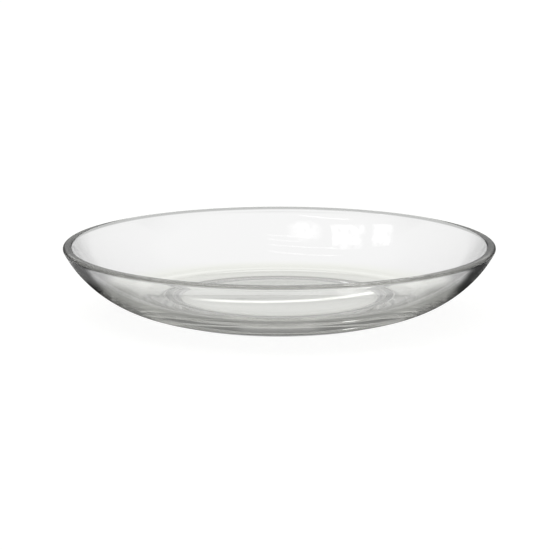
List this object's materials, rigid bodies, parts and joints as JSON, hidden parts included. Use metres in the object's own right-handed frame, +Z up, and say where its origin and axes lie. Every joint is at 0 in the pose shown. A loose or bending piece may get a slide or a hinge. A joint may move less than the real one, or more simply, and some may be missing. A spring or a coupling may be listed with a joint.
{
  "type": "crystallizing dish",
  "caption": "Low flared crystallizing dish of clear pressed glass, with a fire-polished rim, thick flat base and narrow foot ring.",
  "frame": {"origin": "centre of the foot ring, on the surface that the dish stands on", "axes": "+Z up along the dish's axis of revolution; X and Y lie in the resting plane and are interchangeable"},
  "size_m": [0.15, 0.15, 0.024],
  "materials": {
    "glass": "clear fire-polished soda-lime glass, faintly green where it is thick"
  },
  "bodies": {
    "root": {"dish": "glass"}
  },
  "joints": []
}
